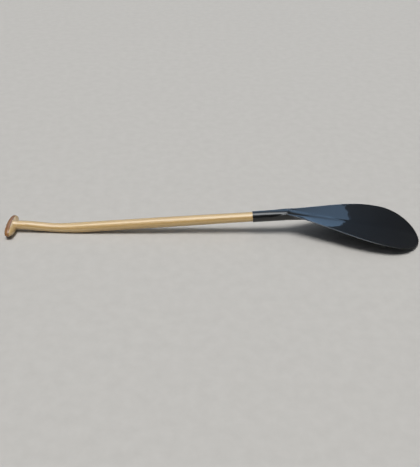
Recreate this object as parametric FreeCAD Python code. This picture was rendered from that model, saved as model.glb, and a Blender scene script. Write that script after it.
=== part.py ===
import FreeCAD, Part
import math
import os

# A bent-shaft, single-bladed paddle with a laminated wooden shaft, a wooden T grip
# and a moulded carbon blade. It is modelled lying on the floor, power face up.
# +X runs from the grip to the blade tip, +Y across the blade, +Z up. Millimetres.

Vec = FreeCAD.Vector

# ---- shaft ----
HANDLE_R = 13.5          # upper hand, beside the grip
SHAFT_R = 15.7           # middle of the shaft
SPIGOT_R = 14.4          # where the shaft enters the blade socket
TENON_R = 9.0            # round tenon that is glued into the grip
TENON_LENGTH = 26.0
SHOULDER_X = 20.0        # the tenon's shoulder, measured from the grip's middle
AXIS_Z = 22.0            # height of the shaft axis at the grip
HANDLE_RUN = 2.0         # straight run after the shoulder
UPPER_BEND_R = 450.0     # the axis dips towards the floor here
UPPER_BEND = math.radians(7.0)
LOWER_BEND_R = 650.0     # and rises again here, towards the blade
SHAFT_RISE = math.radians(4.805)
SWELL_START = 106.0      # the shaft thickens from HANDLE_R to SHAFT_R in the lower bend
SWELL_LENGTH = 82.0
GAUGE_RUN = 262.0        # true cylinder of SHAFT_R
TAPER_RUN = 256.0        # cone from SHAFT_R to SPIGOT_R, up to the socket mouth
SPIGOT_LENGTH = 82.0
LAMINATION = 6.2         # thickness of one strip of the shaft
LAMINATIONS = 5
BEND_STATIONS = 22       # sections that shape the two bends

# ---- grip ----
GRIP_HALF_LENGTH = 53.5
GRIP_HALF_HEIGHT = 17.4
PALM_DEPTH = 14.0        # domed palm side, towards -X
FINGER_DEPTH = 17.0      # finger side, towards +X
GRIP_DROP = 3.6          # the grip's middle lies this far under the shaft axis
CAP_FACE_X = 3.0         # flat face where the palm cap ends
ACCENT = 1.6             # dark veneer between the cap and the base
BOND = 0.3               # glue film around the tenon and the spigot
RIM_POWER = 2.3          # the grip's outline is a superellipse
RIM_ROOT = 2.2
GRIP_END = math.radians(86)   # the outline stops just short of a point at each end
TRUMPET_X = 9.5          # the flare from the shaft into the grip starts here
TRUMPET_R = GRIP_HALF_HEIGHT - GRIP_DROP + 1.2
TRUMPET_SAG = 0.35       # the flare's middle is this far outside the shaft

# ---- blade, in its own frame: s along the neck axis from the socket mouth,
# y across, n up from the neck axis ----
NECK_R = 16.6
SKIN = 0.9
LINER_OUT_R = NECK_R - SKIN - 0.1
LINER_LENGTH = 97.0
CORE_START = 98.0
SHOULDER_START = 28.0    # the parting line starts to climb the side of the neck
THROAT = 101.0           # the shoulders, where the blade begins
SHOULDER_RISE = 10.5     # height of the shoulders over the neck axis
BLADE_LENGTH = 394.0     # throat to tip
HALF_WIDTH = 118.5
TIP_RUN = 95.0           # the tip is a superellipse over this length
TIP_POWER = 2.1
EDGE_BAND = 3.0
HALF_EDGE = 1.3          # half the thickness of the blade's edge
BAND_START = 92.0
STRINGER_HALF = 4.0
FACE_DROP = 2.5          # the power face starts this far under the shoulders
FACE_SLOPE = 0.225       # and falls away from the neck axis at this slope,
FACE_CURVE = 0.9e-4      # more steeply towards the tip
TIP_CURL = 4.5           # extra drop at the tip
DISH = 2.5               # depth of the trough across the face at the throat,
DISH_MORE = 3.5          # and how much deeper it gets
NECK_ROUND = math.radians(60)  # part of each section that is an arc of an ellipse

WIDEST = THROAT + BLADE_LENGTH - TIP_RUN
TIP = THROAT + BLADE_LENGTH

# (distance past the throat, value, slope) at the stations that shape the blade
OUTLINE = ((0.0, 16.9, 0.28), (59.0, 38.2, 0.44), (179.0, 91.0, 0.43),
           (244.0, 112.5, 0.25), (BLADE_LENGTH - TIP_RUN, HALF_WIDTH, 0.0))
DEPTH = ((0.0, 24.6, -0.21), (60.0, 13.5, -0.10), (120.0, 9.6, -0.03),
         (300.0, 6.6, -0.015), (BLADE_LENGTH, 3.8, -0.04))
RIDGE_HEIGHT = ((0.0, 8.6, -0.16), (50.0, 3.6, -0.05), (110.0, 2.0, -0.015),
                (215.0, 0.0, 0.0))
RIDGE_HALF = ((0.0, 15.5, -0.12), (60.0, 10.0, -0.05), (215.0, 7.0, 0.0))
SPINE_HEIGHT = ((0.0, NECK_R, -0.10), (60.0, 8.0, -0.09), (140.0, 3.6, -0.02),
                (300.0, 1.6, 0.0))
SPINE_HALF = ((0.0, NECK_R, 0.0), (80.0, 14.5, -0.02), (300.0, 12.0, 0.0))


# ---- small maths ----
def step(low, high, x):
    """0 below low, 1 above high, smooth between."""
    t = min(1.0, max(0.0, (x - low) / (high - low)))
    return t * t * (3.0 - 2.0 * t)


def hermite(stations, x):
    """Cubic curve through (place, value, slope) stations, level outside them."""
    if x <= stations[0][0]:
        return stations[0][1]
    for (x0, y0, m0), (x1, y1, m1) in zip(stations, stations[1:]):
        if x <= x1:
            span = x1 - x0
            t = (x - x0) / span
            rise = (2 * t - 3) * t * t
            return (y0 * (rise + 1) + m0 * span * t * (1 - t) ** 2
                    - y1 * rise - m1 * span * t * t * (1 - t))
    return stations[-1][1]


def mix(a, b, t):
    return a + (b - a) * t


# ---- closed solids between two surfaces ----
def chord_parameters(rows):
    """Spacing from 0 to 1 along the rows, by the mean distance between their points."""
    places = [0.0]
    for j in range(len(rows[0]) - 1):
        gap = sum(row[j].distanceToPoint(row[j + 1]) for row in rows) / len(rows)
        places.append(places[-1] + gap)
    return [place / places[-1] for place in places]


def spline(points, parameters):
    curve = Part.BSplineCurve()
    curve.interpolate(Points=list(points), Parameters=parameters)
    return curve


def surface_through(rows, across, along):
    """Cubic surface through a grid of points, spaced as the two lists say."""
    row_curves = [spline(row, across) for row in rows]
    columns = zip(*[curve.getPoles() for curve in row_curves])
    column_curves = [spline(column, along) for column in columns]
    surface = Part.BSplineSurface()
    surface.buildFromPolesMultsKnots(
        [curve.getPoles() for curve in column_curves],
        row_curves[0].getMultiplicities(), column_curves[0].getMultiplicities(),
        row_curves[0].getKnots(), column_curves[0].getKnots(), False, False,
        row_curves[0].Degree, column_curves[0].Degree)
    return surface


def lengthwise_pieces(surface, rows_each):
    """The surface cut across its length into shorter pieces of the same shape."""
    u0, u1, v0, v1 = surface.bounds()
    cuts = list(surface.getVKnots())[::rows_each]
    if cuts[-1] != v1:
        cuts.append(v1)
    pieces = []
    for low, high in zip(cuts, cuts[1:]):
        piece = surface.copy()
        piece.segment(u0, u1, low, high)
        pieces.append(piece)
    return pieces


def wall(curve_a, curve_b):
    """The strip between two matching borders, or nothing where they meet."""
    edge_a, edge_b = curve_a.toShape(), curve_b.toShape()
    middle = edge_a.valueAt((edge_a.FirstParameter + edge_a.LastParameter) / 2)
    if edge_b.distToShape(Part.Vertex(middle))[0] < 0.02:
        return []
    return [Part.makeRuledSurface(edge_a, edge_b, 1)]


def solid_between(rows_a, rows_b, rows_each=4):
    """Solid bounded by the surfaces through two grids of points with matching edges."""
    across = chord_parameters(rows_a + rows_b)
    along = chord_parameters(list(zip(*rows_a)) + list(zip(*rows_b)))
    sides = [lengthwise_pieces(surface_through(rows, across, along), rows_each)
             for rows in (rows_a, rows_b)]
    faces = [piece.toShape() for side in sides for piece in side]
    for first, second in zip(*sides):
        u0, u1, v0, v1 = first.bounds()
        faces += wall(first.uIso(u0), second.uIso(u0)) + wall(first.uIso(u1), second.uIso(u1))
    for pick, end in ((0, 2), (-1, 3)):
        first, second = sides[0][pick], sides[1][pick]
        place = first.bounds()[end]
        faces += wall(first.vIso(place), second.vIso(place))
    shell = Part.makeShell(faces)
    shell.sewShape(0.01)
    solid = Part.makeSolid(shell)
    if solid.Volume < 0:
        solid.reverse()
    return solid


# ---- shaft ----
AXIS_RUNS = (             # (length, turn): a turn of 0 is a straight run
    (TENON_LENGTH + HANDLE_RUN, 0.0),
    (UPPER_BEND_R * UPPER_BEND, -UPPER_BEND),
    (LOWER_BEND_R * (UPPER_BEND + SHAFT_RISE), UPPER_BEND + SHAFT_RISE),
    (GAUGE_RUN + TAPER_RUN + SPIGOT_LENGTH, 0.0),
)
BENDS_END = sum(length for length, turn in AXIS_RUNS[:3])


def axis_walk():
    """Each run of the shaft axis as (x, z, heading, length, turn)."""
    x, z, heading = SHOULDER_X - TENON_LENGTH, AXIS_Z, 0.0
    for length, turn in AXIS_RUNS:
        yield x, z, heading, length, turn
        if turn:
            radius = length / turn
            x += radius * (math.sin(heading + turn) - math.sin(heading))
            z += radius * (math.cos(heading) - math.cos(heading + turn))
        else:
            x += length * math.cos(heading)
            z += length * math.sin(heading)
        heading += turn


def axis_point(distance):
    """Point and heading of the axis at a distance from the tenon's end."""
    for x, z, heading, length, turn in axis_walk():
        if distance <= length + 1e-9:
            break
        distance -= length
    if turn:
        radius = length / turn
        angle = heading + distance / radius
        x += radius * (math.sin(angle) - math.sin(heading))
        z += radius * (math.cos(heading) - math.cos(angle))
        return Vec(x, 0, z), angle
    return Vec(x + distance * math.cos(heading), 0, z + distance * math.sin(heading)), heading


def beside_axis(distance, offset):
    point, heading = axis_point(distance)
    return point + Vec(-math.sin(heading), 0, math.cos(heading)) * offset


def parallel_edges(offset):
    """The curve that stays `offset` above the shaft axis."""
    edges = []
    start = 0.0
    for length, turn in AXIS_RUNS:
        ends = beside_axis(start, offset), beside_axis(start + length, offset)
        if turn:
            middle = beside_axis(start + length / 2, offset)
            edges.append(Part.Arc(ends[0], middle, ends[1]).toShape())
        else:
            edges.append(Part.LineSegment(*ends).toShape())
        start += length
    return edges


def lamination_band(low, high):
    """Everything between two curves parallel to the axis, 40 mm wide."""
    below, above = parallel_edges(low), parallel_edges(high)
    total = sum(length for length, turn in AXIS_RUNS)
    closing = [Part.LineSegment(beside_axis(d, low), beside_axis(d, high)).toShape()
               for d in (0.0, total)]
    outline = Part.Wire(Part.__sortEdges__(below + above + closing))
    face = Part.Face(outline)
    face.translate(Vec(0, -20, 0))
    return face.extrude(Vec(0, 40, 0))


def shaft_blank():
    """The whole shaft before it is split into its strips."""
    def disc(distance, radius):
        point, heading = axis_point(distance)
        return Part.Wire(Part.makeCircle(radius, point, axis_direction(heading)))

    sections = []
    for i in range(BEND_STATIONS + 1):
        distance = mix(TENON_LENGTH, BENDS_END, i / BEND_STATIONS)
        swell = step(SWELL_START, SWELL_START + SWELL_LENGTH, distance - TENON_LENGTH)
        sections.append(disc(distance, mix(HANDLE_R, SHAFT_R, swell)))
    bend = Part.makeLoft(sections, True)
    start, heading = axis_point(0.0)
    tenon = Part.makeCylinder(TENON_R, TENON_LENGTH, start, Vec(1, 0, 0))
    start, heading = axis_point(BENDS_END)
    along = axis_direction(heading)
    gauge = Part.makeCylinder(SHAFT_R, GAUGE_RUN, start, along)
    taper = Part.makeCone(SHAFT_R, SPIGOT_R, TAPER_RUN, start + along * GAUGE_RUN, along)
    spigot = Part.makeCylinder(SPIGOT_R, SPIGOT_LENGTH,
                               start + along * (GAUGE_RUN + TAPER_RUN), along)
    return tenon.fuse([bend, gauge, taper, spigot])


def axis_direction(heading):
    return Vec(math.cos(heading), 0, math.sin(heading))


def shaft_laminations():
    """Strips stacked in the direction of the bends, lowest first."""
    blank = shaft_blank()
    parts = {}
    for i in range(LAMINATIONS):
        low = (i - LAMINATIONS / 2) * LAMINATION
        low = low if i else low - LAMINATION
        high = (i + 1 - LAMINATIONS / 2) * LAMINATION
        high = high if i < LAMINATIONS - 1 else high + LAMINATION
        strip = blank.common(lamination_band(low, high))
        parts["shaft_lamination_%d" % (i + 1)] = strip.Solids[0]
    return parts


# ---- grip ----
def grip_rows(depth):
    """One side of the grip: rows across its length, each an arc of half an ellipse."""
    rows = []
    for i in range(-8, 9):
        y = GRIP_HALF_LENGTH * math.sin(i / 8 * GRIP_END)
        shrink = (1 - abs(y / GRIP_HALF_LENGTH) ** RIM_POWER) ** (1 / RIM_ROOT)
        row = []
        for j in range(-5, 6):
            angle = j / 5 * math.pi / 2
            x = depth * mix(shrink, 1.0, 0.25) * math.cos(angle)
            z = GRIP_HALF_HEIGHT * shrink * math.sin(angle)
            row.append(Vec(x, y, AXIS_Z - GRIP_DROP + z))
        rows.append(row)
    return rows


def grip_layer(x_low, x_high):
    """A slab across the shaft axis, larger than the grip."""
    return Part.makeBox(x_high - x_low, 200, 200, Vec(x_low, -100, AXIS_Z - 100))


def trumpet():
    """The flare that blends the finger side of the grip into the shaft."""
    corners = [Vec(SHOULDER_X, 0, HANDLE_R), Vec(SHOULDER_X, 0, 0), Vec(0, 0, 0),
               Vec(0, 0, TRUMPET_R), Vec(TRUMPET_X, 0, TRUMPET_R)]
    sides = [Part.LineSegment(a, b).toShape() for a, b in zip(corners, corners[1:])]
    middle = Vec(mix(TRUMPET_X, SHOULDER_X, 0.5), 0, HANDLE_R + TRUMPET_SAG)
    sides.append(Part.Arc(corners[-1], middle, corners[0]).toShape())
    flare = Part.Face(Part.Wire(sides)).revolve(Vec(0, 0, 0), Vec(1, 0, 0), 360)
    flare.translate(Vec(0, 0, AXIS_Z))
    return flare


def grip_parts():
    blank = solid_between(grip_rows(-PALM_DEPTH), grip_rows(FINGER_DEPTH))
    accent_end = CAP_FACE_X + ACCENT
    hole_start = SHOULDER_X - TENON_LENGTH - BOND
    hole = Part.makeCylinder(TENON_R + BOND, TENON_LENGTH + BOND,
                             Vec(hole_start, 0, AXIS_Z), Vec(1, 0, 0))
    tenon = Part.makeCylinder(TENON_R, TENON_LENGTH,
                              Vec(hole_start + BOND, 0, AXIS_Z), Vec(1, 0, 0))
    layer = grip_layer(accent_end, 50)
    base = blank.common(layer).fuse(trumpet().common(layer)).removeSplitter()
    return {
        "grip_palm_cap": blank.common(grip_layer(-50, CAP_FACE_X)).cut(hole),
        "grip_accent_veneer": blank.common(grip_layer(CAP_FACE_X, accent_end)).cut(hole),
        "grip_base": base.cut(hole),
        "grip_bond": hole.cut(tenon),
    }


# ---- blade surfaces ----
def half_width(s):
    if s <= THROAT:
        return mix(NECK_R, OUTLINE[0][1], step(SHOULDER_START, THROAT, s))
    return hermite(OUTLINE, s - THROAT)


def tip_outline(angle, inset):
    """Station and half width of the tip's superellipse, inset from the edge."""
    reach = math.sin(angle)
    width = max(0.0, 1 - reach ** TIP_POWER) ** (1 / TIP_POWER)
    return WIDEST + (TIP_RUN - inset) * reach, (HALF_WIDTH - inset) * width


def face_centre(s):
    """Height of the power face on the centre line, ridge left out."""
    past = max(0.0, s - THROAT)
    return (SHOULDER_RISE - FACE_DROP - FACE_SLOPE * past - FACE_CURVE * past ** 2
            - TIP_CURL * (past / BLADE_LENGTH) ** 6)


def face_height(s, y):
    """Height of the power face at y: the face is a shallow trough, the neck is round."""
    if s <= THROAT:
        return SHOULDER_RISE * step(SHOULDER_START, THROAT, s)
    dish = DISH + DISH_MORE * step(-60, 260, s - THROAT)
    reference = hermite(OUTLINE, s - THROAT)
    return face_centre(s) + dish * (y / reference) ** 2


def opened(s):
    """0 where the neck is a plain tube, 1 where the blade has its full edge."""
    return step(THROAT - 13, THROAT + 7, s)


def stations(first):
    """(station, half width of the skins) from the first station to the tip."""
    listed = [s for s in (0, 14, 28, 40, 52, 64, 76, 86, 94, 98, 101, 108, 116, 126, 140, 160,
                          185, 215, 245, 275, 305, 335, 365, WIDEST) if s >= first]
    rows = [(s, half_width(s) - EDGE_BAND * opened(s)) for s in listed]
    rows += [tip_outline(math.radians(a), EDGE_BAND) for a in (12, 24, 36, 48, 60, 70, 79, 86)]
    return rows


def middle_arc(s, edge, side):
    """Half width, height and centre height of the elliptical middle of a section."""
    past = s - THROAT
    if side < 0:
        half, height = hermite(SPINE_HALF, past), hermite(SPINE_HEIGHT, past)
        bottom = -NECK_R if past <= 0 else face_centre(s) - hermite(DEPTH, past)
        return half, height, bottom + height
    if past <= 0:
        centre = edge * 0.95
        flat = step(SHOULDER_START, THROAT + 9, s)
        return mix(NECK_R, RIDGE_HALF[0][1], flat), NECK_R - centre, centre
    centre = mix(edge * 0.95, face_centre(s), step(0, 12, past))
    return hermite(RIDGE_HALF, past), face_centre(s) + hermite(RIDGE_HEIGHT, past) - centre, centre


def section(s, reach, side, inset):
    """Half of one cross-section, from the centre line to the edge.

    side is +1 for the power face and -1 for the back. The middle is an arc of an
    ellipse: the neck tube, then the ridge or the spine. A cubic curve runs on from it
    to the edge. The points are then moved in by inset, square to the curve.
    """
    past = s - THROAT
    edge = face_height(s, reach)
    half, height, centre = middle_arc(s, edge, side)
    flat = (step(SHOULDER_START, THROAT + 9, s) if side > 0
            else step(THROAT - 10, THROAT + 60, s))
    tip = Vec(0, reach, edge + side * HALF_EDGE * opened(s))

    points, tangents = [], []
    for j in range(5):
        angle = NECK_ROUND * j / 4
        points.append(Vec(0, half * math.sin(angle), centre + side * height * math.cos(angle)))
        tangents.append(Vec(0, half * math.cos(angle), -side * height * math.sin(angle)))
    root = points[-1]
    leave = tangents[-1].normalize()
    dish_slope = math.atan(2 * (edge - face_centre(s)) / reach) if past > 0 else 0.0
    turn = mix(-side * math.pi / 2, dish_slope, flat)
    arrive = Vec(0, math.cos(turn), math.sin(turn))
    span = (tip - root).Length
    handle_a = root + leave * 0.34 * min(span, (half + height) / 2)
    handle_b = tip - arrive * mix(0.34, 0.42, flat) * span
    for j in range(1, 7):
        t = (j / 6) ** mix(1.0, 1.25, flat)
        points.append(root * (1 - t) ** 3 + handle_a * (3 * t * (1 - t) ** 2)
                      + handle_b * (3 * t * t * (1 - t)) + tip * t ** 3)
        tangents.append((handle_a - root) * (1 - t) ** 2
                        + (handle_b - handle_a) * (2 * t * (1 - t)) + (tip - handle_b) * t ** 2)
    moved = []
    for point, tangent in zip(points, tangents):
        outward = Vec(0, -tangent.z, tangent.y).normalize() * side
        moved.append(Vec(s, point.y - outward.y * inset, point.z - outward.z * inset))
    return moved


def blade_rows(first, side, inset):
    rows = []
    for s, reach in stations(first):
        half = section(s, reach, side, inset)
        other = [Vec(p.x, -p.y, p.z) for p in reversed(half[1:])]
        rows.append(other + half)
    return rows


def edge_band():
    """The rim that closes the edge between the two skins, from shoulder to shoulder."""
    places = []
    for s in (BAND_START, 96, 101, 108, 118, 134, 160, 195, 235, 275, 315, 350, WIDEST):
        width = EDGE_BAND * opened(s)
        places.append(((s, half_width(s) - width), (s, half_width(s)), opened(s)))
    for a in (9, 18, 28, 38, 48, 58, 67, 75, 82, 90):
        angle = math.radians(a)
        places.append((tip_outline(angle, EDGE_BAND), tip_outline(angle, 0.0), 1.0))
    around = places + [((a[0], -a[1]), (b[0], -b[1]), h) for a, b, h in reversed(places[:-1])]
    outer, inner = [], []
    angles = [math.radians(a) for a in (-90, -60, -30, 0, 30, 60, 90)]
    for (s_in, y_in), (s_out, y_out), full in around:
        root = Vec(s_in, y_in, face_height(s_in, abs(y_in)))
        rim = Vec(s_out, y_out, face_height(s_out, abs(y_out)))
        up = Vec(0, 0, HALF_EDGE * full)
        outer.append([root + (rim - root) * math.cos(a) + up * math.sin(a) for a in angles])
        inner.append([root + up * math.sin(a) for a in angles])
    return solid_between(outer, inner)


def blade_parts():
    along = Vec(1, 0, 0)
    liner_bore = Part.makeCylinder(SPIGOT_R + BOND, LINER_LENGTH + 2, Vec(-1, 0, 0), along)
    liner = Part.makeCylinder(LINER_OUT_R, LINER_LENGTH, Vec(0, 0, 0), along).cut(liner_bore)
    bond = Part.makeCylinder(SPIGOT_R + BOND, SPIGOT_LENGTH, Vec(0, 0, 0), along).cut(
        Part.makeCylinder(SPIGOT_R, SPIGOT_LENGTH, Vec(0, 0, 0), along))
    plug = Part.makeCylinder(SPIGOT_R + BOND, LINER_LENGTH - SPIGOT_LENGTH - BOND,
                             Vec(SPIGOT_LENGTH + BOND, 0, 0), along)
    skins = {}
    for name, side in (("power_face_skin", 1), ("back_face_skin", -1)):
        skins[name] = solid_between(blade_rows(0, side, 0.0), blade_rows(0, side, SKIN))
    core = solid_between(blade_rows(CORE_START, 1, SKIN), blade_rows(CORE_START, -1, SKIN))

    def slice_of_core(y_low, y_high):
        return core.common(Part.makeBox(TIP, y_high - y_low, 400, Vec(0, y_low, -300)))

    return {
        "socket_liner": liner,
        "socket_bond": bond,
        "socket_plug": plug,
        **skins,
        "foam_core_left": slice_of_core(STRINGER_HALF, HALF_WIDTH + 10),
        "foam_core_right": slice_of_core(-HALF_WIDTH - 10, -STRINGER_HALF),
        "spine_stringer": slice_of_core(-STRINGER_HALF, STRINGER_HALF),
        "edge_band": edge_band(),
    }


def place_on_shaft(shape):
    """Move a piece from the blade's frame to the socket mouth on the shaft."""
    mouth, heading = axis_point(BENDS_END + GAUGE_RUN + TAPER_RUN)
    shape = shape.copy()
    shape.rotate(Vec(0, 0, 0), Vec(0, 1, 0), -math.degrees(heading))
    shape.translate(mouth)
    return shape


def build():
    parts = grip_parts()
    parts.update(shaft_laminations())
    for name, shape in blade_parts().items():
        parts[name] = place_on_shaft(shape)
    box = Part.makeCompound(list(parts.values())).optimalBoundingBox(False, False)
    to_origin = Vec(-(box.XMin + box.XMax) / 2, 0, -box.ZMin)
    os.makedirs("parts", exist_ok=True)
    for name, shape in parts.items():
        shape = shape.copy()
        shape.translate(to_origin)
        solid = shape if shape.ShapeType == "Solid" else shape.Solids[0]
        piece = solid.optimalBoundingBox(False, False)
        print("%-22s solids %d valid %s volume %9.0f  x %.1f..%.1f  z %.2f..%.2f" % (
            name, len(shape.Solids), shape.isValid(), shape.Volume,
            piece.XMin, piece.XMax, piece.ZMin, piece.ZMax))
        solid.exportStep("parts/%s.step" % name)
    print("overall length %.1f, width %.1f, height %.1f, origin shift %.2f %.2f" % (
        box.XLength, box.YLength, box.ZLength, to_origin.x, to_origin.z))


build()
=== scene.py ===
"""A bent-shaft canoe paddle: laminated wooden shaft and T grip, glossy carbon blade.

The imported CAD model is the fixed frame. The visible wooden pieces are copies of their CAD
solids with eased edges and coordinates that follow the grain. The two carbon skins are
copies with evened-out shading and coordinates that follow the cloth. The other nodes stay
as the CAD has them and only take a material.
"""
import math

import bmesh
import bpy
import numpy as np
from mathutils import Matrix, Vector
from mathutils.bvhtree import BVHTree


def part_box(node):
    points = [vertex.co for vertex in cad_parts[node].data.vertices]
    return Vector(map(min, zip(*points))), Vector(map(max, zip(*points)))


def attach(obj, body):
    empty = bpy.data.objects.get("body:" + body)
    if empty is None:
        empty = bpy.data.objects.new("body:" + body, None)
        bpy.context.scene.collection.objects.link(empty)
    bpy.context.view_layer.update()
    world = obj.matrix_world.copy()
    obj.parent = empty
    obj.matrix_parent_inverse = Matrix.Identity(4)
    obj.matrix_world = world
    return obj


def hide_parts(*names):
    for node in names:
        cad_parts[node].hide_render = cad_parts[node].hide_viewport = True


MM = 0.001

# ---- camera, at the photographed viewing angle ----
CAMERA_ELEVATION = math.radians(32.38)
CAMERA_YAW = math.radians(0.116)
CAMERA_ROLL = math.radians(0.659)
CAMERA_DISTANCE = 2.1634
CAMERA_AIM = Vector((-0.0073, 0.0044, 0.0))
CAMERA_LENS = 54.84
CAMERA_SENSOR = 36.0               # width in millimetres, like the lens
CAMERA_REACH = 100.0
IMAGE_SHIFT_Y = -0.0021

# ---- studio ----
FLOOR_HALF = 14.0
FLOOR_TONES = ((0.565, 0.560, 0.545), (0.600, 0.595, 0.580))
SUN_STRENGTH = 2.35                # of the key and of the sheen
KEY_ELEVATION = math.radians(72)   # from the camera's side
KEY_ANGLE = math.radians(24)       # wide, so that shadows are soft
KEY_COLOUR = (1.0, 0.97, 0.93)
SHEEN_ELEVATION = math.radians(78)  # the key as varnish mirrors it: wider and cooler
SHEEN_ANGLE = math.radians(45)
SHEEN_COLOUR = (0.93, 0.97, 1.0)
PANEL_SIZE = (9.0, 7.0)            # the pale panel that the blade mirrors
PANEL_PLACE = Vector((-0.76, 6.0, 5.87))
PANEL_FACING = math.radians(-90)   # towards the camera's side
PANEL_TILT = math.radians(21.8)    # turned in its own plane
PANEL_POWER = 215.0
PANEL_COLOUR = (0.38, 0.64, 1.0)
SKY = ((0.0, (0.045, 0.047, 0.052)),   # sine of the height above the horizon, and colour
       (0.45, (0.050, 0.053, 0.060)),
       (0.80, (0.24, 0.25, 0.26)),
       (1.0, (0.42, 0.43, 0.45)))

# ---- woods: the pale, middle and dark tone of each ----
SHAFT_PALE = ((0.76, 0.57, 0.28), (0.68, 0.47, 0.20), (0.58, 0.36, 0.13))
SHAFT_WARM = ((0.72, 0.52, 0.24), (0.63, 0.42, 0.17), (0.52, 0.32, 0.11))
PALM_CAP = ((0.52, 0.26, 0.080), (0.36, 0.160, 0.042), (0.19, 0.072, 0.017))
ACCENT = ((0.26, 0.115, 0.036), (0.18, 0.075, 0.022), (0.10, 0.040, 0.012))
GRIP_BASE = ((0.76, 0.57, 0.29), (0.66, 0.46, 0.21), (0.54, 0.35, 0.14))
STRINGER = ((0.78, 0.62, 0.38), (0.70, 0.52, 0.29), (0.58, 0.40, 0.20))

# ---- sizes of the detail ----
WELD = 0.002 * MM                  # points closer than this are joined
SHARP = math.radians(40)           # edges sharper than this are eased,
SMOOTH = math.radians(35)          # and those flatter than this are shaded smooth
STRIP_BEVEL = 0.08 * MM
GRIP_BEVEL = 0.15 * MM
AXIS_POINTS = 500
GRAIN_SHIFT = 1.7                  # from strip to strip, so that no two have the same grain
CLOTH_OPENS = 0.05                 # past the neck, the cloth goes from wrapped to flat
TOW = 2.0 * MM                     # width of one tow of the carbon cloth
DIAGONAL = 0.7071                  # the tows run at 45 degrees to the paddle
TWILL_REPEAT = 4.0                 # a tow goes over two others and under two
TWILL_OVER = 1.5                   # counts 0 and 1 are over, 2 and 3 are under
COUNT_AHEAD = 4000.0               # whole repeats that keep the count above zero

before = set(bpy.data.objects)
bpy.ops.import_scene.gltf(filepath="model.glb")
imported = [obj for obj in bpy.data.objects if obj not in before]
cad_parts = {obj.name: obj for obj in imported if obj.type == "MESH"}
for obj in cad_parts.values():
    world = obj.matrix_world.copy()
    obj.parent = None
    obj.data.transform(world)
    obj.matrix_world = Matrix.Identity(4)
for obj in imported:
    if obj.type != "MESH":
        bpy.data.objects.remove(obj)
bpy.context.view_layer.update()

STRIPS = [name for name in sorted(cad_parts) if name.startswith("shaft_lamination")]


# ---- small node helpers ----
class Look:
    """One material and the few lines it takes to add and join its nodes."""

    def __init__(self, name):
        self.material = bpy.data.materials.new(name)
        self.material.use_nodes = True
        self.nodes = self.material.node_tree.nodes
        self.links = self.material.node_tree.links
        self.shader = self.nodes["Principled BSDF"]

    def add(self, kind, settings=None, **inputs):
        """Add a node. Inputs are numbers, colours, or another node's output socket.

        An input is given by its name, or as i0, i1 and so on by its place.
        """
        node = self.nodes.new("ShaderNode" + kind)
        for key, value in (settings or {}).items():
            setattr(node, key, value)
        for key, value in inputs.items():
            by_place = key[0] == "i" and key[1:].isdigit()
            self.put(node, int(key[1:]) if by_place else key.replace("_", " "), value)
        return node

    def put(self, node, socket, value):
        target = node.inputs[socket]
        if isinstance(value, bpy.types.NodeSocket):
            self.links.new(value, target)
        else:
            target.default_value = value

    def math(self, operation, a, b=0.0, clamp=False):
        node = self.add("Math", {"operation": operation, "use_clamp": clamp})
        self.put(node, 0, a)
        self.put(node, 1, b)
        return node.outputs[0]

    def stretched(self, vector, scale):
        """The coordinates scaled by a different amount along each axis."""
        node = self.add("Mapping", Vector=vector)
        node.inputs["Scale"].default_value = scale
        return node.outputs[0]

    def noise(self, vector, scale, detail=4.0, roughness=0.55, distortion=0.0):
        node = self.add("TexNoise", Vector=vector, Scale=scale, Detail=detail,
                        Roughness=roughness, Distortion=distortion)
        return node.outputs["Fac"]

    def ramp(self, value, *stops):
        """Colour ramp through (position, colour) stops."""
        node = self.add("ValToRGB", Fac=value)
        elements = node.color_ramp.elements
        while len(elements) < len(stops):
            elements.new(0.5)
        for element, (position, colour) in zip(elements, stops):
            element.position = position
            element.color = (*colour, 1.0) if len(colour) == 3 else colour
        return node.outputs["Color"]

    def blend(self, factor, a, b, mode="MIX"):
        node = self.add("Mix", {"data_type": "RGBA", "blend_type": mode})
        for index, value in ((0, factor), (6, a), (7, b)):
            if isinstance(value, tuple) and len(value) == 3:
                value = (*value, 1.0)
            self.put(node, index, value)
        return node.outputs[2]

    def bump(self, height, strength, distance):
        node = self.add("Bump", Height=height, Strength=strength, Distance=distance)
        return node.outputs["Normal"]

    def attribute(self, name):
        return self.add("Attribute", {"attribute_name": name}).outputs["Vector"]

    def finish(self, **inputs):
        for key, value in inputs.items():
            self.put(self.shader, key.replace("_", " "), value)
        return self.material


def grey(level):
    return (level, level, level)


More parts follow.
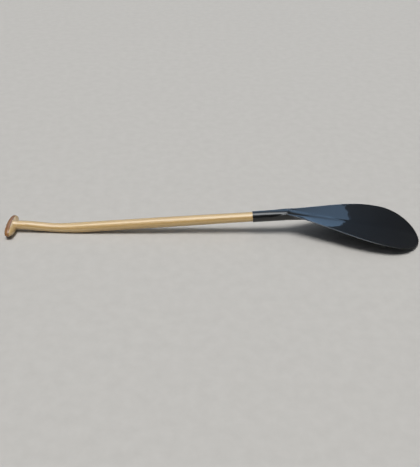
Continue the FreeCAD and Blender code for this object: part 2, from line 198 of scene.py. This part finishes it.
# ---- materials ----
# A noise is stretched by its number of features per metre along each axis.
def straight_wood(name, tones, line_scale, coat=1.0, follow=True):
    """Straight-grained wood under clear varnish, or bare with no coat.

    The grain follows the piece's grain attribute (along, across, up), or else the X axis.
    """
    pale, middle, dark = tones
    look = Look(name)
    grain = look.attribute("grain") if follow else look.add("TexCoord").outputs["Object"]
    drift = look.noise(look.stretched(grain, (3.0, 60.0, 60.0)), 1.0, 3.0)
    rings = look.noise(look.stretched(grain, (1.6, line_scale, line_scale)), 1.0, 5.0, 0.6, 0.4)
    fibres = look.noise(look.stretched(grain, (22.0, 1500.0, 1500.0)), 1.0, 4.0, 0.65)
    pores = look.noise(look.stretched(grain, (110.0, 3200.0, 3200.0)), 1.0, 2.0, 0.5)
    tone = look.math("ADD", look.math("MULTIPLY", rings, 0.62), look.math("MULTIPLY", drift, 0.38))
    colour = look.ramp(tone, (0.30, dark), (0.50, middle), (0.72, pale))
    streak = look.ramp(fibres, (0.30, grey(0.74)), (0.62, grey(1.0)))
    colour = look.blend(0.75, colour, streak, "MULTIPLY")
    speck = look.ramp(pores, (0.28, grey(0.62)), (0.36, grey(1.0)))
    colour = look.blend(0.6, colour, speck, "MULTIPLY")
    rough = look.math("ADD", look.math("MULTIPLY", fibres, 0.25), 0.33)
    normal = look.bump(fibres, 0.25, 0.15 * MM)
    waviness = look.noise(look.stretched(grain, (40.0, 180.0, 180.0)), 1.0, 2.0)
    return look.finish(Base_Color=colour, Roughness=rough, Normal=normal,
                       Coat_Weight=coat, Coat_Roughness=0.12, Coat_IOR=1.5,
                       Coat_Normal=look.bump(waviness, 0.12, 0.3 * MM))


def glue_line():
    """The fine dark line where two strips meet."""
    look = Look("glue_line_finish")
    grain = look.attribute("grain")
    mottle = look.noise(look.stretched(grain, (200.0, 900.0, 900.0)), 1.0)
    colour = look.ramp(mottle, (0.3, (0.30, 0.17, 0.07)), (0.7, (0.42, 0.26, 0.12)))
    return look.finish(Base_Color=colour, Roughness=0.35, Coat_Weight=1.0, Coat_Roughness=0.1)


def woven_carbon(name, tow_sheen_level, coat_roughness):
    """2/2 twill carbon cloth under clear epoxy, with a painted sheen: each tow is painted lighter
    along its middle, and the tows on top lighter than those below. The weave attribute runs along,
    across.
    """
    look = Look(name)
    cloth = look.attribute("weave")
    split = look.add("SeparateXYZ", Vector=look.stretched(cloth, (1 / TOW, 1 / TOW, 1.0)))
    turned = []
    for sign in (1.0, -1.0):
        across = look.math("MULTIPLY", split.outputs[1], sign)
        turned.append(look.math("MULTIPLY", look.math("ADD", split.outputs[0], across), DIAGONAL))
    cells = [look.math("FLOOR", value) for value in turned]
    within = [look.math("FRACT", value) for value in turned]
    count = look.math("ADD", cells[0], look.math("ADD", cells[1], COUNT_AHEAD))
    over = look.math("LESS_THAN", look.math("MODULO", count, TWILL_REPEAT), TWILL_OVER)
    crown = []
    for value in within:
        centred = look.math("SUBTRACT", value, 0.5)
        squared = look.math("MULTIPLY", centred, centred)
        crown.append(look.math("SUBTRACT", 1.0, look.math("MULTIPLY", squared, 4.0)))
    height = look.add("Mix", {"data_type": "FLOAT"}, i0=over, i2=crown[0], i3=crown[1]).outputs[0]
    fray = look.noise(look.stretched(cloth, (900.0, 900.0, 1.0)), 1.0, 2.0)
    # painted sheen: the base colour is lighter along the middle of each tow and on the tows that
    # lie on top
    painted_tow_sheen = look.math("ADD", look.math("MULTIPLY", height, 0.5), look.math("MULTIPLY", over, 0.3))
    painted_tow_sheen = look.math("MULTIPLY", painted_tow_sheen, look.math("ADD", fray, 0.5))
    # the colour of the painted sheen at its brightest, slightly blue like the light it stands for
    sheen_crest = (tow_sheen_level, tow_sheen_level * 1.04, tow_sheen_level * 1.12)
    colour = look.ramp(painted_tow_sheen, (0.0, grey(0.002)), (1.0, sheen_crest))
    clouds = look.noise(look.stretched(cloth, (14.0, 14.0, 1.0)), 1.0, 3.0)
    rough = look.math("ADD", look.math("MULTIPLY", clouds, 0.16), 0.30)
    peel = look.noise(look.stretched(cloth, (70.0, 70.0, 1.0)), 1.0, 2.0)
    return look.finish(Base_Color=colour, Roughness=rough,
                       Specular_IOR_Level=0.12, Normal=look.bump(height, 0.15, 0.06 * MM),
                       Coat_Weight=1.0, Coat_Roughness=coat_roughness, Coat_IOR=1.5,
                       Coat_Normal=look.bump(peel, 0.02, 0.2 * MM))


def resin_edge():
    """Black resin with faint scuffs."""
    look = Look("resin_edge_finish")
    place = look.add("TexCoord").outputs["Object"]
    scuffs = look.noise(look.stretched(place, (220.0, 220.0, 220.0)), 1.0, 5.0, 0.7)
    colour = look.ramp(scuffs, (0.35, grey(0.006)), (0.62, grey(0.016)), (0.80, grey(0.06)))
    rough = look.ramp(scuffs, (0.3, grey(0.18)), (0.75, grey(0.42)))
    return look.finish(Base_Color=colour, Roughness=rough,
                       Normal=look.bump(scuffs, 0.15, 0.1 * MM),
                       Coat_Weight=0.7, Coat_Roughness=0.08)


def cured_glue():
    """Dull yellow-brown glue."""
    look = Look("cured_glue_finish")
    place = look.add("TexCoord").outputs["Object"]
    clouds = look.noise(look.stretched(place, (300.0, 300.0, 300.0)), 1.0, 4.0)
    colour = look.ramp(clouds, (0.3, (0.30, 0.22, 0.11)), (0.7, (0.50, 0.41, 0.25)))
    return look.finish(Base_Color=colour, Roughness=look.math("ADD", clouds, 0.0, True),
                       Normal=look.bump(clouds, 0.3, 0.1 * MM))


def rigid_foam():
    """Pale foam with small closed cells."""
    look = Look("rigid_foam_finish")
    place = look.add("TexCoord").outputs["Object"]
    cells = look.add("TexVoronoi", Vector=place, Scale=700.0).outputs["Distance"]
    colour = look.ramp(cells, (0.1, (0.60, 0.56, 0.44)), (0.6, (0.80, 0.77, 0.66)))
    return look.finish(Base_Color=colour, Roughness=look.math("ADD", cells, 0.55, True),
                       Normal=look.bump(cells, 0.6, 0.4 * MM))


# ---- coordinates that follow the shaft ----
def shaft_axis():
    """Points of the shaft's axis, halfway between its top and its underside on the middle plane."""
    top = BVHTree.FromObject(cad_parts[STRIPS[-1]], bpy.context.evaluated_depsgraph_get())
    under = BVHTree.FromObject(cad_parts[STRIPS[0]], bpy.context.evaluated_depsgraph_get())
    low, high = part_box(STRIPS[0])
    points = []
    for x in np.linspace(low.x + MM, high.x - MM, AXIS_POINTS):
        upper = top.ray_cast(Vector((x, 0, 1)), Vector((0, 0, -1)))[0]
        lower = under.ray_cast(Vector((x, 0, -1)), Vector((0, 0, 1)))[0]
        if upper and lower:
            points.append((x, (upper.z + lower.z) / 2))
    return np.array(points)


AXIS = shaft_axis()


def straightened(points):
    """(along the shaft, across, above its axis) of points of the model, in metres."""
    ahead = np.diff(AXIS, axis=0)
    lengths = np.hypot(ahead[:, 0], ahead[:, 1])
    along_axis = np.concatenate(([0.0], np.cumsum(lengths)))
    index = np.clip(np.searchsorted(AXIS[:, 0], points[:, 0]) - 1, 0, len(ahead) - 1)
    unit = ahead[index] / lengths[index][:, None]
    gap = points[:, [0, 2]] - AXIS[index]
    along = along_axis[index] + (gap * unit).sum(1)
    above = unit[:, 0] * gap[:, 1] - unit[:, 1] * gap[:, 0]
    return np.stack([along, points[:, 1], above], 1)


# ---- pieces made from their CAD solids ----
def welded_copy(node):
    """A new object with the CAD node's shape, its coincident points joined."""
    mesh = bpy.data.meshes.new(node + "_detail")
    shape = bmesh.new()
    shape.from_mesh(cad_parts[node].data)
    bmesh.ops.remove_doubles(shape, verts=shape.verts, dist=WELD)
    shape.to_mesh(mesh)
    shape.free()
    piece = bpy.data.objects.new(node + "_detail", mesh)
    bpy.context.scene.collection.objects.link(piece)
    return piece


def ease_edges(piece, width, segments, line=None):
    """Bevel the sharp edges. The new faces take the material slot `line` if it is given."""
    shape = bmesh.new()
    shape.from_mesh(piece.data)
    sharp = [e for e in shape.edges
             if len(e.link_faces) == 2 and e.calc_face_angle(0.0) > SHARP]
    bmesh.ops.bevel(shape, geom=sharp, offset=width, segments=segments, profile=0.5,
                    affect="EDGES", clamp_overlap=True, material=-1 if line is None else line)
    shape.normal_update()
    for edge in shape.edges:
        edge.smooth = edge.calc_face_angle(0.0) < SMOOTH
    for face in shape.faces:
        face.smooth = True
    shape.to_mesh(piece.data)
    shape.free()


def add_coordinates(piece, name, values):
    attribute = piece.data.attributes.new(name, "FLOAT_VECTOR", "POINT")
    attribute.data.foreach_set("vector", values.astype(np.float32).ravel())


def points_of(piece):
    flat = np.empty(len(piece.data.vertices) * 3)
    piece.data.vertices.foreach_get("co", flat)
    return flat.reshape(-1, 3)


def even_out_shading(piece, reach=3.0 * MM, longer=3.0, alike=0.80):
    """Give each corner the mean normal of the nearby faces that face the same way.

    The mean is taken over a patch wider than the faces, and `longer` times as long as
    it is wide, so that a mirror-smooth finish doesn't show how the surface is cut into
    triangles.
    """
    mesh = piece.data
    faces = len(mesh.polygons)
    centres, normals, areas = np.empty(faces * 3), np.empty(faces * 3), np.empty(faces)
    mesh.polygons.foreach_get("center", centres)
    mesh.polygons.foreach_get("normal", normals)
    mesh.polygons.foreach_get("area", areas)
    patch = np.array([reach * longer, reach, reach])
    centres, normals = centres.reshape(-1, 3) / patch, normals.reshape(-1, 3)
    cells = {}
    for face, cell in enumerate(map(tuple, np.floor(centres).astype(int))):
        cells.setdefault(cell, []).append(face)
    corners = [[] for _ in mesh.vertices]
    for loop in mesh.loops:
        corners[loop.vertex_index].append(loop.index)
    face_of = np.repeat(np.arange(faces), 3)  # every face is a triangle
    shading = np.empty((faces * 3, 3))
    neighbours = [(i, j, k) for i in (-1, 0, 1) for j in (-1, 0, 1) for k in (-1, 0, 1)]
    for point, loops in zip(points_of(piece) / patch, corners):
        x, y, z = np.floor(point).astype(int)
        near = np.array([face for i, j, k in neighbours
                         for face in cells.get((x + i, y + j, z + k), ())] or [0])
        near = near[((centres[near] - point) ** 2).sum(1) < 1]
        own = normals[face_of[loops]]
        share = (own @ normals[near].T > alike) * areas[near]
        shading[loops] = share @ normals[near] + own * areas[face_of[loops]][:, None]
    shading /= np.linalg.norm(shading, axis=1)[:, None]
    for face in mesh.polygons:
        face.use_smooth = True
    mesh.normals_split_custom_set(shading.tolist())


def stand_for(piece, node):
    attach(piece, "root")
    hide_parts(node)


def build_shaft():
    """Each strip with an eased edge, so that a fine dark line shows where two strips are glued."""
    pale = straight_wood("shaft_pale_finish", SHAFT_PALE, 260.0)
    warm = straight_wood("shaft_warm_finish", SHAFT_WARM, 230.0)
    glue = glue_line()
    for i, node in enumerate(STRIPS):
        piece = welded_copy(node)
        piece.data.materials.append(warm if i % 2 else pale)
        piece.data.materials.append(glue)
        ease_edges(piece, STRIP_BEVEL, 1, line=1)
        grain = straightened(points_of(piece))
        grain[:, 0] += GRAIN_SHIFT * i
        add_coordinates(piece, "grain", grain)
        stand_for(piece, node)


def build_grip():
    """The three glued layers of the grip, with the grain across the shaft."""
    finishes = {
        "grip_palm_cap": straight_wood("palm_cap_finish", PALM_CAP, 170.0, coat=0.6),
        "grip_accent_veneer": straight_wood("accent_finish", ACCENT, 300.0, coat=0.6),
        "grip_base": straight_wood("grip_base_finish", GRIP_BASE, 210.0),
    }
    for node, finish in finishes.items():
        piece = welded_copy(node)
        piece.data.materials.append(finish)
        ease_edges(piece, GRIP_BEVEL, 2)
        points = points_of(piece)
        add_coordinates(piece, "grain", points[:, [1, 0, 2]])
        stand_for(piece, node)


def weave_coordinates(points, side):
    """(along, round) for the carbon cloth: flat on the blade, wrapped round the neck."""
    low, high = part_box("socket_liner")
    place = straightened(points)
    radius = (high.y - low.y) / 2
    wrapped = np.arctan2(points[:, 1], side * place[:, 2]) * radius
    flat = np.clip((points[:, 0] - high.x) / CLOTH_OPENS, 0, 1)
    around = wrapped * (1 - flat) + points[:, 1] * flat
    return np.stack([place[:, 0], around, np.zeros(len(points))], 1)


def build_blade():
    """The two carbon skins, which also make the blade's neck."""
    # tow_sheen_level sets how bright the painted sheen on the tows is
    carbon = woven_carbon("carbon_cloth_finish", tow_sheen_level=0.009, coat_roughness=0.03)
    for node, side in (("power_face_skin", 1), ("back_face_skin", -1)):
        piece = welded_copy(node)
        piece.data.materials.append(carbon)
        even_out_shading(piece)
        add_coordinates(piece, "weave", weave_coordinates(points_of(piece), side))
        stand_for(piece, node)


def finish_cad_nodes():
    """Materials of the CAD nodes that stay as they are."""
    glue, foam, edge = cured_glue(), rigid_foam(), resin_edge()
    stringer = straight_wood("stringer_finish", STRINGER, 240.0, coat=0.0, follow=False)
    plain = {"grip_bond": glue, "socket_bond": glue, "socket_plug": foam, "foam_core_left": foam,
             "foam_core_right": foam, "edge_band": edge, "socket_liner": edge,
             "spine_stringer": stringer}
    for node, material in plain.items():
        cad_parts[node].material_slots[0].material = material


# ---- studio ----
def build_floor():
    mesh = bpy.data.meshes.new("studio_floor")
    corners = [(-FLOOR_HALF, -FLOOR_HALF, 0), (FLOOR_HALF, -FLOOR_HALF, 0),
               (FLOOR_HALF, FLOOR_HALF, 0), (-FLOOR_HALF, FLOOR_HALF, 0)]
    mesh.from_pydata(corners, [], [(0, 1, 2, 3)])
    floor = bpy.data.objects.new("studio_floor", mesh)
    bpy.context.scene.collection.objects.link(floor)
    look = Look("studio_floor_finish")
    place = look.add("TexCoord").outputs["Object"]
    mottle = look.noise(look.stretched(place, (30.0, 30.0, 1.0)), 1.0, 6.0)
    colour = look.ramp(mottle, (0.3, FLOOR_TONES[0]), (0.7, FLOOR_TONES[1]))
    mesh.materials.append(look.finish(Base_Color=colour, Roughness=0.85,
                                      Specular_IOR_Level=0.2))


def build_sky():
    """A dim dome that is brighter overhead."""
    world = bpy.data.worlds.new("studio")
    bpy.context.scene.world = world
    world.use_nodes = True
    nodes, links = world.node_tree.nodes, world.node_tree.links
    direction = nodes.new("ShaderNodeTexCoord").outputs["Generated"]
    split = nodes.new("ShaderNodeSeparateXYZ")
    links.new(direction, split.inputs[0])
    ramp = nodes.new("ShaderNodeValToRGB")
    links.new(split.outputs["Z"], ramp.inputs["Fac"])
    while len(ramp.color_ramp.elements) < len(SKY):
        ramp.color_ramp.elements.new(0.5)
    for element, (height, colour) in zip(ramp.color_ramp.elements, SKY):
        element.position = height
        element.color = (*colour, 1.0)
    background = nodes["Background"]
    links.new(ramp.outputs["Color"], background.inputs["Color"])
    background.inputs["Strength"].default_value = 1.0


def build_suns():
    """The key gives the light and the shadows, and the sheen gives only the highlights."""
    for name, elevation, angle, colour, glossy in (
            ("key", KEY_ELEVATION, KEY_ANGLE, KEY_COLOUR, False),
            ("sheen", SHEEN_ELEVATION, SHEEN_ANGLE, SHEEN_COLOUR, True)):
        light = bpy.data.lights.new(name, "SUN")
        light.angle = angle
        light.energy = SUN_STRENGTH
        light.color = colour
        lamp = bpy.data.objects.new(name, light)
        shines = Vector((0.0, math.cos(elevation), -math.sin(elevation)))
        lamp.rotation_euler = shines.to_track_quat("-Z", "Y").to_euler()
        lamp.visible_glossy = glossy
        lamp.visible_diffuse = not glossy
        bpy.context.scene.collection.objects.link(lamp)


def build_panel():
    """A pale panel that lights nothing by itself and shows only where it is mirrored."""
    panel = bpy.data.lights.new("pale_panel", "AREA")
    panel.shape = "RECTANGLE"
    panel.size, panel.size_y = PANEL_SIZE
    panel.energy = PANEL_POWER
    panel.color = PANEL_COLOUR
    board = bpy.data.objects.new("pale_panel", panel)
    board.location = PANEL_PLACE
    board.rotation_euler = (PANEL_FACING, PANEL_TILT, 0.0)
    board.visible_camera = False
    board.visible_diffuse = False
    bpy.context.scene.collection.objects.link(board)


def build_camera():
    camera = bpy.data.cameras.new("camera")
    camera.lens = CAMERA_LENS
    camera.sensor_width = CAMERA_SENSOR
    camera.shift_y = IMAGE_SHIFT_Y
    camera.clip_end = CAMERA_REACH
    mount = bpy.data.objects.new("camera", camera)
    level = math.cos(CAMERA_ELEVATION)
    ahead = Vector((math.sin(CAMERA_YAW) * level, math.cos(CAMERA_YAW) * level,
                    -math.sin(CAMERA_ELEVATION)))
    mount.location = CAMERA_AIM - ahead * CAMERA_DISTANCE
    across = Vector((math.cos(CAMERA_YAW), -math.sin(CAMERA_YAW), 0.0))
    above = across.cross(ahead)
    right = across * math.cos(CAMERA_ROLL) + above * math.sin(CAMERA_ROLL)
    up = above * math.cos(CAMERA_ROLL) - across * math.sin(CAMERA_ROLL)
    mount.rotation_euler = Matrix((right, up, -ahead)).transposed().to_euler()
    bpy.context.scene.collection.objects.link(mount)
    bpy.context.scene.camera = mount


build_shaft()
build_grip()
build_blade()
finish_cad_nodes()
build_floor()
build_sky()
build_suns()
build_panel()
build_camera()
bpy.context.scene.view_settings.view_transform = "Standard"
